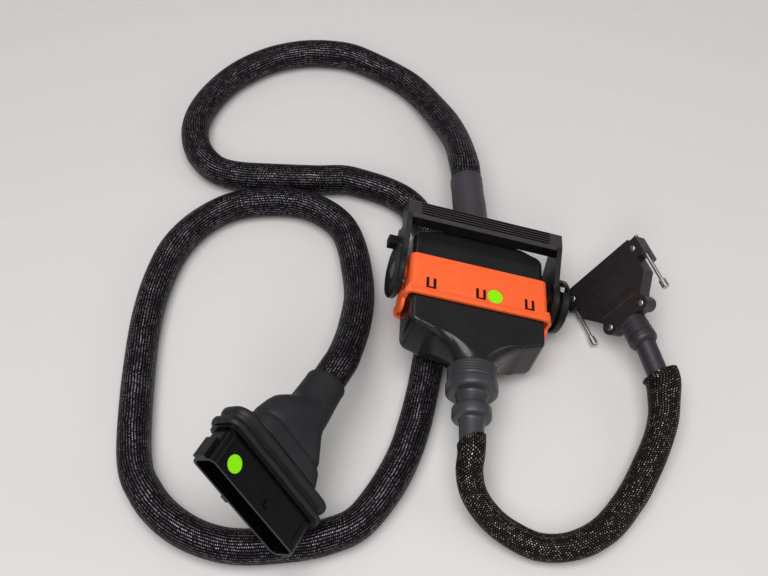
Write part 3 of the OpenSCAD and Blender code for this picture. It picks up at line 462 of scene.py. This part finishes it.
# the raised lines of the D connector's shell get a painted highlight, a lighter grey
shell_black = moulded("shell_black", tone(25, 22, 24), tone(42, 38, 41), 0.42, 0.5, 0.05,
                      painted_shading=tone(58, 55, 55))
boot_grey = moulded("boot_grey", tone(50, 49, 53), tone(76, 75, 80), 0.38, 0.9, 0.06, level=0.55)
plug_boot_grey = moulded("plug_boot_grey", tone(27, 26, 28), tone(46, 45, 48), 0.6, 1.4, 0.16, level=0.35)
sleeve_grey = moulded("sleeve_grey", tone(56, 53, 58), tone(74, 71, 76), 0.5, 1.2, 0.08, level=0.35)
seal_rubber = moulded("seal_rubber", tone(22, 21, 23), tone(42, 40, 43), 0.5, 1.0, 0.1, level=0.4)
relief_grey = moulded("relief_grey", tone(41, 37, 43), tone(58, 54, 61), 0.44, 1.0, 0.06, level=0.4)
print("moulded finishes:", hood_black.name, frame_orange.name, boot_grey.name)

# %% [markdown]
# Plated metal shows fine turning marks, so its noise is drawn out into streaks and feeds the gloss
# more than the colour. The stickers are printed paper: a bright flat green with the faint mottle of
# the print.

# %% Metal and paper finishes
def plated(name, colour, worn, rough):
    """Plated metal: its tone, its tone where worn, and how rough it is."""
    finish, tree, shader = new_finish(name)
    spot = add(tree, "TexCoord").outputs["Object"]
    drawn = add(tree, "Mapping", {"Vector": spot, "Scale": (1.0, 0.12, 1.0)}).outputs[0]
    marks = add(tree, "TexNoise", {"Vector": drawn, "Scale": 2400.0, "Detail": 3.0}).outputs["Fac"]
    wear = add(tree, "TexNoise", {"Vector": spot, "Scale": 190.0, "Detail": 4.0}).outputs["Fac"]
    tree.links.new(mix_colour(tree, wear, colour, worn), shader.inputs["Base Color"])
    tree.links.new(add(tree, "MapRange", {0: marks, 3: rough - 0.08, 4: rough + 0.14}).outputs[0],
                   shader.inputs["Roughness"])
    shader.inputs["Metallic"].default_value = 1.0
    bump = add(tree, "Bump", {"Height": marks, "Strength": 0.3, "Distance": 0.00004})
    tree.links.new(bump.outputs[0], shader.inputs["Normal"])
    return finish


screw_steel = plated("screw_steel", tone(214, 212, 206), tone(176, 172, 164), 0.3)
stud_steel = plated("stud_steel", tone(170, 171, 174), tone(132, 132, 136), 0.36)
screw_head = plated("screw_head", tone(176, 174, 176), tone(140, 137, 140), 0.3)
contact_brass = plated("contact_brass", tone(214, 176, 92), tone(176, 138, 62), 0.32)
contact_tin = plated("contact_tin", tone(206, 205, 198), tone(160, 158, 152), 0.34)

dot_green, dot_tree, dot_shader = new_finish("dot_green")
dot_spot = add(dot_tree, "TexCoord").outputs["Object"]
dot_mottle = add(dot_tree, "TexNoise", {"Vector": dot_spot, "Scale": 900.0, "Detail": 3.0}).outputs["Fac"]
dot_tree.links.new(mix_colour(dot_tree, dot_mottle, tone(122, 230, 0), tone(152, 238, 2)),
                   dot_shader.inputs["Base Color"])
dot_shader.inputs["Roughness"].default_value = 0.55
dot_shader.inputs["Specular IOR Level"].default_value = 0.2
print("metals and paper ready")

# %% [markdown]
# The hoods are the largest moulded pieces. Each starts as a wide rounded box, steps in at its
# shoulders and sweeps in a concave curve to a round neck, with generous radii on all edges that
# catch the light. As a loft this is a ring that follows the outline seen from above: its half width
# comes from the outline, and its corner radius grows until the neck is a full circle.

# %% Hoods
def rounded_ring(y, half_w, half_h, corner, shift=0, arc=8, wide=14, tall=6):
    """A rounded rectangle in the x-z plane at y, always with the same number of points."""
    corner = min(corner, 0.99 * min(half_w, half_h))
    middles = [(half_w - corner, half_h - corner), (corner - half_w, half_h - corner),
               (corner - half_w, corner - half_h), (half_w - corner, corner - half_h)]
    points = []
    for q, (x, z) in enumerate(middles):
        arc_points = [(x + corner * math.cos(math.radians(90 * q + 90 * k / arc)),
                       z + corner * math.sin(math.radians(90 * q + 90 * k / arc))) for k in range(arc + 1)]
        points += arc_points
        nx, nz = middles[(q + 1) % 4]
        start = (nx + corner * math.cos(math.radians(90 * q + 90)),
                 nz + corner * math.sin(math.radians(90 * q + 90)))
        run = wide if q % 2 == 0 else tall
        points += [(arc_points[-1][0] + (start[0] - arc_points[-1][0]) * k / run,
                    arc_points[-1][1] + (start[1] - arc_points[-1][1]) * k / run) for k in range(1, run)]
    return [Vector((x + shift, y, z)) for x, z in points]


hood_half_w, hood_half_h, hood_wall, hood_lip, hood_hollow = 44.5, 13.6, 2.4, 0.6, 8
flare_r, flare_len, neck_r, shoulder_r, hood_edge = 22, 12.5, 14, 5, 3.2
shoulder_drop, shoulder_squash, shoulder_lean = 2.5, 0.97, math.radians(12)
neck_wall = 2.6


def hood_rings(length):
    """The rings of a hood from inside its mouth, over its lip and shoulders, to the end of its neck."""
    flare_x = neck_r + math.sqrt(flare_r ** 2 - (flare_r - flare_len) ** 2)
    outline = [(hood_half_w - hood_wall, length - hood_hollow), (hood_half_w - hood_wall, hood_lip),
               (hood_half_w - hood_lip, 0.0), (hood_half_w, hood_lip)]
    corner_y = length - shoulder_drop - shoulder_r
    outline += [(hood_half_w, corner_y * k / 6) for k in range(1, 6)]
    outline += [(hood_half_w - shoulder_r + shoulder_r * math.cos(math.radians(15 * k)),
                 corner_y + shoulder_r * math.sin(math.radians(15 * k)) * shoulder_squash) for k in range(7)]
    last = math.degrees(math.asin((flare_r - flare_len) / flare_r))
    for k in range(1, 17):
        turn = math.radians(90 - (90 - last) * k / 16)
        outline.append((flare_x - flare_r * math.cos(turn), length + flare_r - flare_r * math.sin(turn)))
    outline += [(neck_r, length + flare_len + 0.5), (neck_r - 0.2, length + flare_len + 1),
                (neck_r - neck_wall, length + flare_len + 1)]
    rings = []
    for i, (half_w, y) in enumerate(outline):
        inner = i < 2
        fade = max(0.0, min(1.0, (flare_x - half_w) / (flare_x - neck_r)))
        half_h = (hood_half_h - hood_wall if inner else hood_half_h - (hood_lip if i == 2 else 0))
        half_h = half_h + (neck_r - half_h) * fade ** 3 if y > length - 1 else half_h
        corner = hood_edge if y < length - shoulder_r else hood_edge + (neck_r - hood_edge) * fade ** 1.4
        ring = rounded_ring(y, half_w, half_h, corner)
        lean = max(0.0, min(1.0, (y - 4) / (length - 8))) * (1 - fade ** 2)
        rings.append([Vector((p.x, p.y - p.z * math.sin(shoulder_lean) * lean, p.z)) for p in ring])
    return rings


def hood_piece(name, length, skirt, side, body, node):
    """A hood that starts at its skirt's distance from the coupler's middle, on one side of it."""
    bm = bmesh.new()
    loops = loft(bm, hood_rings(length))
    close_end(bm, loops[0])
    bmesh.ops.translate(bm, verts=bm.verts, vec=(0, skirt, 0))
    bmesh.ops.scale(bm, verts=bm.verts, vec=(1, side, 1))
    return make_piece(name, bm, body, hood_black, [node], on_coupler, crease=50, flat=True)


hood_a = hood_piece("long_cable_hood", length=31.5, skirt=8, side=1, body="plug_half", node="hood_a")
hood_b = hood_piece("short_cable_hood", length=28, skirt=13, side=-1, body="socket_half", node="hood_b")
print("hood faces:", len(hood_a.data.polygons), len(hood_b.data.polygons))

# %% [markdown]
# Exact solids have knife edges, and real mouldings never do: it is the thin bright line along a
# rounded edge that makes plastic look like plastic. So the frame, the lever, the shroud and the
# shells are copies of their solids, merged into clean faces, with their sharp edges bevelled. The
# frame's tongues are slimmed on the way, and each label recess of the D connector gets a raised line.
# The slots then get painted shade in a dark tone, and the lever's ridge and those lines a painted highlight in
# a lighter one.

# %% Softened solids
sharp_angle, merge_angle, merge_gap = math.radians(32), math.radians(0.6), 2e-6
tongue_pitch, tongue_half_w, tongue_slimmer = 33, 2, 0.6
shell_top, recess_spans = 5.5, ((-13.6, 2.4), (6, 14))
rim_y, rim_w, rim_h = 31.1, 0.55, 0.34


def softened(name, node, body, finish, edge_mm, shape=None):
    """A copy of a CAD node whose sharp edges are rounded by edge_mm, after shape has changed it."""
    bm = bmesh.new()
    bm.from_mesh(cad_nodes[node].data)
    bmesh.ops.remove_doubles(bm, verts=bm.verts, dist=merge_gap)
    bmesh.ops.dissolve_limit(bm, angle_limit=merge_angle, verts=bm.verts, edges=bm.edges)
    sharp = [e for e in bm.edges if e.is_manifold and e.calc_face_angle() > sharp_angle]
    if shape:
        shape(bm)
    bmesh.ops.bevel(bm, geom=sharp, offset=edge_mm / 1000, offset_type="OFFSET", segments=2,
                    profile=0.5, affect="EDGES", material=-1, clamp_overlap=True)
    return make_piece(name, bm, body, finish, [node], crease=36, flat=True)


to_frame = on_coupler.inverted()


def from_tongue(spot):
    """How far a point of the frame is from the middle of the nearest spring tongue, across it."""
    return (spot.x + 1.5 * tongue_pitch) % tongue_pitch - tongue_pitch / 2


def slim_tongues(bm):
    """Moves the long sides of the spring tongues inwards."""
    for v in bm.verts:
        spot = to_frame @ v.co
        aside = from_tongue(spot)
        if abs(abs(aside) - tongue_half_w) < 0.1 and -12 < spot.y < -3 and abs(spot.z) > 13:
            v.co = on_coupler @ (spot - Vector((math.copysign(tongue_slimmer, aside), 0, 0)))


def recess_rims(bm):
    """A thin raised line along the near side of both label recesses."""
    for low_x, high_x in recess_spans:
        size = Matrix.Diagonal((high_x - low_x + 1, rim_w, rim_h, 1))
        middle = Matrix.Translation(((low_x + high_x) / 2, rim_y, shell_top))
        bmesh.ops.create_cube(bm, size=1, matrix=on_dsub @ middle @ size)


frame_piece = softened("orange_coupling_frame", "coupling_frame", "plug_half", frame_orange,
                       0.45, shape=slim_tongues)
lever_piece = softened("ribbed_lever", "locking_lever", "locking_lever", lever_black, 0.3)
shroud_piece = softened("plug_mouth_shroud", "plug_shroud", "plug_half", shroud_black, 0.35)
top_shell = softened("dsub_shell_top", "dsub_hood_top", "socket_half", shell_black, 0.35,
                     shape=recess_rims)
bottom_shell = softened("dsub_shell_bottom", "dsub_hood_bottom", "socket_half", shell_black,
                        0.35)
frame_gap, frame_wall = 0.3, 1.8
frame_half_h = hood_half_h + frame_gap + frame_wall


def in_slot_shade(spot):
    """Inside the slot round a spring tongue of the frame, which gets painted shade."""
    return abs(spot.z) < frame_half_h - 0.5 and -13 < spot.y < -2 and abs(from_tongue(spot)) < 4


def on_ridge_highlight(spot):
    """On the ribs of the lever's crossbar, which get a painted highlight."""
    return spot.z > 25.5 and 36 < spot.y < 47.5


def at_rim_highlight(spot):
    """On a raised line, which is all that stands above the shell's top; it gets a painted highlight."""
    return spot.z > shell_top + 0.02


# painted shading: shade in the frame's slots, highlight on the lever's ridge and on the shell's raised lines
for piece, straight, belongs in ((frame_piece, to_frame, in_slot_shade), (lever_piece, to_frame, on_ridge_highlight),
                                 (top_shell, on_dsub.inverted(), at_rim_highlight)):
    marks = [1.0 if belongs(straight @ face.center) else 0.0 for face in piece.data.polygons]
    piece.data.attributes.new("painted_shading", "FLOAT", "FACE").data.foreach_set("value", marks)
    print(piece.name, "marked faces:", int(sum(marks)))
for made in (frame_piece, lever_piece, shroud_piece, top_shell, bottom_shell):
    print(made.name, len(made.data.polygons))

# %% [markdown]
# The four screws of the D connector have domed heads, which show a bright middle and a dark rim. A
# dome is turned on a lathe, so each screw is a loft of circles from its tip to the top of its head.

# %% Screws
screw_turns = [(1.2, -3.5), (1.2, 4.65), (2.3, 4.65), (2.3, 5.0), (2.15, 5.3), (1.75, 5.58), (1.2, 5.75),
               (0.6, 5.83), (0.2, 5.85)]
front_screw, rear_screw, screw_sides = (27.4, 5.1), (13.5, 38.6), 24
round_screw = [2 * math.pi * k / screw_sides for k in range(screw_sides)]
bm = bmesh.new()
for x, y in ((side * at[0], at[1]) for at in (front_screw, rear_screw) for side in (1, -1)):
    screw_loops = loft(bm, [[Vector((x + r * math.cos(a), y + r * math.sin(a), z)) for a in round_screw]
                            for r, z in screw_turns])
    close_end(bm, screw_loops[0])
    close_end(bm, screw_loops[-1])
screws = make_piece("dsub_domed_screws", bm, "socket_half", screw_head, ["dsub_screws"],
                    on_dsub, crease=50)
print("screw faces:", len(screws.data.polygons))

# %% [markdown]
# The plug's boot is soft moulded rubber that gathers the flat flange into the round cable. Its loft
# has a band beside the seal, a fold where the bell begins and a neck with a rolled end. The seal
# itself is two thin lips on a web, wavy as rubber is, so its rings wander a little. Each row of a
# profile is a distance along the plug, a half width, a half height, a corner radius and, where the
# boot sags to one side, a shift. The noise that moves points starts from the clock unless it is given
# a seed, so it is given one, and every run makes the same shapes.

# %% Plug boot and seal
rubber_wander, wander_seed = 0.5, 3
noise.seed_set(wander_seed)


def wander(rings, size_mm, scale):
    """Moves every point a little, as soft mouldings are never quite straight."""
    return [[p + size_mm * noise.noise_vector(p * scale) for p in ring] for ring in rings]


boot_profile = [(35.6, 28.5, 11.3, 9), (36.2, 29.2, 12, 9.5), (38, 29.3, 12.2, 10, -0.2),
                (42, 28.3, 12.4, 10.5, -0.8), (44.2, 27.9, 12.5, 11, -1.2), (45.2, 26.9, 12.1, 11, -1.4),
                (45.8, 25.6, 11.7, 11, -1.5), (46.6, 25.2, 11.9, 11, -1.6), (47.8, 25.4, 12.6, 11.5, -1.8),
                (49.4, 25, 12.9, 11.5, -2.1), (54, 22.9, 13.1, 12, -3.1),
                (59, 20.6, 13.2, 12.4, -4.1), (62.5, 18.9, 13.2, 12.6, -4.4), (65, 17.5, 13.2, 12.7, -3.7),
                (67.5, 16.2, 13.2, 12.8, -2.6), (70, 14.9, 13.2, 12.9, -1.3), (72.5, 13.9, 13.1, 13, -0.4),
                (75, 13.3, 13, 13), (80, 12.9, 12.8, 12.8), (86, 12.5, 12.5, 12.5), (91, 12.3, 12.3, 12.3),
                (93.4, 12.4, 12.4, 12.4), (94.4, 12, 12, 12), (94.5, 10.6, 10.6, 10.6)]
bm = bmesh.new()
plug_boot_loops = loft(bm, wander([rounded_ring(*row) for row in boot_profile], rubber_wander, 0.06))
close_end(bm, plug_boot_loops[0])
plug_boot = make_piece("plug_rubber_boot", bm, "plug_half", plug_boot_grey, ["plug_boot"],
                       on_plug, crease=60)
seal_profile = [(23.1, 39.3, 8.8, 4.6), (23.0, 43.4, 10.6, 7), (23.5, 44.3, 11.4, 8),
                (24.6, 44.6, 11.6, 8), (26.2, 44.4, 11.5, 8), (26.9, 43.4, 10.7, 7.5),
                (27.6, 41.8, 9.7, 6.5), (29.6, 41.6, 9.6, 6.5), (30.4, 42.1, 11, 8), (31.0, 42.7, 12.2, 9),
                (32.4, 43, 12.6, 9), (34.2, 42.9, 12.5, 9), (35.0, 42.2, 11.8, 8.5), (35.4, 41, 11, 8),
                (35.5, 39.3, 8.8, 4.6)]
bm = bmesh.new()
loft(bm, wander([rounded_ring(*row) for row in seal_profile], rubber_wander, 0.09))
bmesh.ops.bridge_loops(bm, edges=[e for e in bm.edges if e.is_boundary])
plug_seal = make_piece("plug_lip_seal", bm, "plug_half", seal_rubber, ["flange_seal"],
                       on_plug, crease=60)
print("boot and seal faces:", len(plug_boot.data.polygons), len(plug_seal.data.polygons))

# %% [markdown]
# The shrunk sleeve on the long cable starts on a seat at the hood's neck and hugs the cable. The
# boot on the short cable is a turned shape: a grooved rim, two bulges with blunt ends and a tail that
# runs into the braid. Its profile is a list of distances along the cable and radii.

# %% Sleeve and boot
sleeve_profile = [(0.0, 11.5), (0.1, 12.9), (3.4, 12.9), (4.2, 12.2), (5.4, 11.3), (9, 11.2), (14, 11.1),
                  (20, 11.15), (24, 11.3), (27, 11.2), (32, 11.0), (38, 11.05), (43, 11.1), (46, 11.1),
                  (46.9, 10.9), (47, 10.4)]
at_neck, seat_len = Matrix.Translation(Vector((0, neck_a, 0))), 4
turned_at_neck = at_neck @ Matrix.Rotation(sleeve_turn, 4, "Z")
sleeve_rings = [[(at_neck if y < seat_len else turned_at_neck) @ p for p in rounded_ring(y, r, r, r)]
                for y, r in sleeve_profile]
bm = bmesh.new()
sleeve_loops = loft(bm, wander(sleeve_rings, 0.3, 0.12))
close_end(bm, sleeve_loops[0])
close_end(bm, sleeve_loops[-1])
sleeve = make_piece("shrunk_sleeve", bm, "plug_half", sleeve_grey, ["cable_sleeve"],
                    on_coupler, crease=60)
rim_r, groove_r = 15.3, 14.9
boot_rim = [(0.0, 14.4), (0.25, groove_r), (0.8, rim_r)]
for groove in (2.6, 4.5, 6.4, 8.3):
    boot_rim += [(groove - 0.35, rim_r), (groove - 0.15, groove_r), (groove + 0.15, groove_r),
                 (groove + 0.35, rim_r)]
boot_turns = boot_rim + [
    (9.6, rim_r), (9.9, 15.1), (10.2, 15.4), (10.7, 15.9), (11.6, 16.2), (14, 16.2), (16.4, 16.2),
    (17.2, 15.9), (17.8, 15.2), (18.2, 14.0), (18.4, 12.4), (18.5, 10.7), (18.9, 9.9), (20, 9.6), (23, 9.5),
    (26.2, 9.6), (26.8, 9.9), (27.1, 10.8), (27.5, 11.7), (28.4, 12.2), (31, 12.2), (33.8, 12.2),
    (34.6, 11.9), (35.2, 11.2), (35.5, 10.0), (35.7, 8.7), (36.2, 7.9), (37.5, 7.6), (42, 7.5), (48, 7.4),
    (54, 7.3)]
bm = bmesh.new()
boot_loops = loft(bm, wander([rounded_ring(-neck_b - y, r, r, r) for y, r in boot_turns], 0.12, 0.15))
close_end(bm, boot_loops[0])
close_end(bm, boot_loops[-1])
ribbed_boot = make_piece("short_cable_boot", bm, "socket_half", boot_grey, ["ribbed_boot"],
                         on_coupler, crease=60)
print("sleeve and boot faces:", len(sleeve.data.polygons), len(ribbed_boot.data.polygons))

# %% [markdown]
# The remaining pieces keep their exact solids and only get their finish.

# %% Finishes on exact solids
node_finishes = {
    "relief_collar": relief_grey, "relief_tube": relief_grey,
    "plug_body": housing_black, "receptacle_body": housing_black, "plug_insert": housing_black,
    "dsub_insert": housing_black, "interface_seal": seal_rubber, "pivot_studs": stud_steel,
    "cam_followers": stud_steel, "plug_contacts": contact_brass, "receptacle_pins": contact_brass,
    "dsub_pins": contact_brass, "plug_pins": contact_tin,
    "dsub_shell": screw_steel, "jackscrew_left": screw_steel, "jackscrew_right": screw_steel,
    "frame_dot": dot_green, "plug_dot": dot_green}
for node, finish in node_finishes.items():
    mesh = cad_nodes[node].data
    mesh.materials.clear()
    mesh.materials.append(finish)
print("finished solids:", len(node_finishes))

# %% [markdown]

print("both cables built")

# %% [markdown]
# The table is pale and plain, and the light is the even light of a bright room: a soft sky from all
# round, a wide lamp overhead for the gloss on the hoods, a smaller one in front, and weak ones behind
# and at the side to shape them.

# %% Table and light
table_half, sky_strength = 3, 0.24
bm = bmesh.new()
bmesh.ops.create_grid(bm, x_segments=1, y_segments=1, size=table_half)
table_mesh = bpy.data.meshes.new("table")
bm.to_mesh(table_mesh)
bm.free()
table_finish, _, table_shader = new_finish("pale_table")
table_shader.inputs["Base Color"].default_value = tone(212, 209, 207)
table_shader.inputs["Roughness"].default_value = 0.6
table_mesh.materials.append(table_finish)
table = bpy.data.objects.new("table", table_mesh)
bpy.context.scene.collection.objects.link(table)


def lamp(name, place, size, power, aim):
    """A square lamp of a size in metres and a power in watts, aimed at a point."""
    light = bpy.data.lights.new(name, "AREA")
    light.size, light.energy = size, power
    made = bpy.data.objects.new(name, light)
    made.location = place
    made.rotation_euler = (Vector(aim) - Vector(place)).to_track_quat("-Z", "Y").to_euler()
    bpy.context.scene.collection.objects.link(made)


lamp("overhead", (-0.15, -0.38, 1.65), 1.3, 24, (-0.05, 0.0, 0.0))
lamp("front", (-0.25, -1.5, 1.25), 0.6, 7, (-0.05, 0.0, 0.0))
lamp("back", (-0.3, 1.1, 1.5), 0.7, 1.5, (-0.05, 0.05, 0.0))
lamp("side", (1.4, -0.2, 1.0), 0.8, 3, (0.0, 0.0, 0.0))
world = bpy.data.worlds.new("room")
bpy.context.scene.world = world
world.use_nodes = True
sky = world.node_tree.nodes["Background"]
sky.inputs["Color"].default_value = tone(238, 238, 240)
sky.inputs["Strength"].default_value = sky_strength
print("table and light ready")
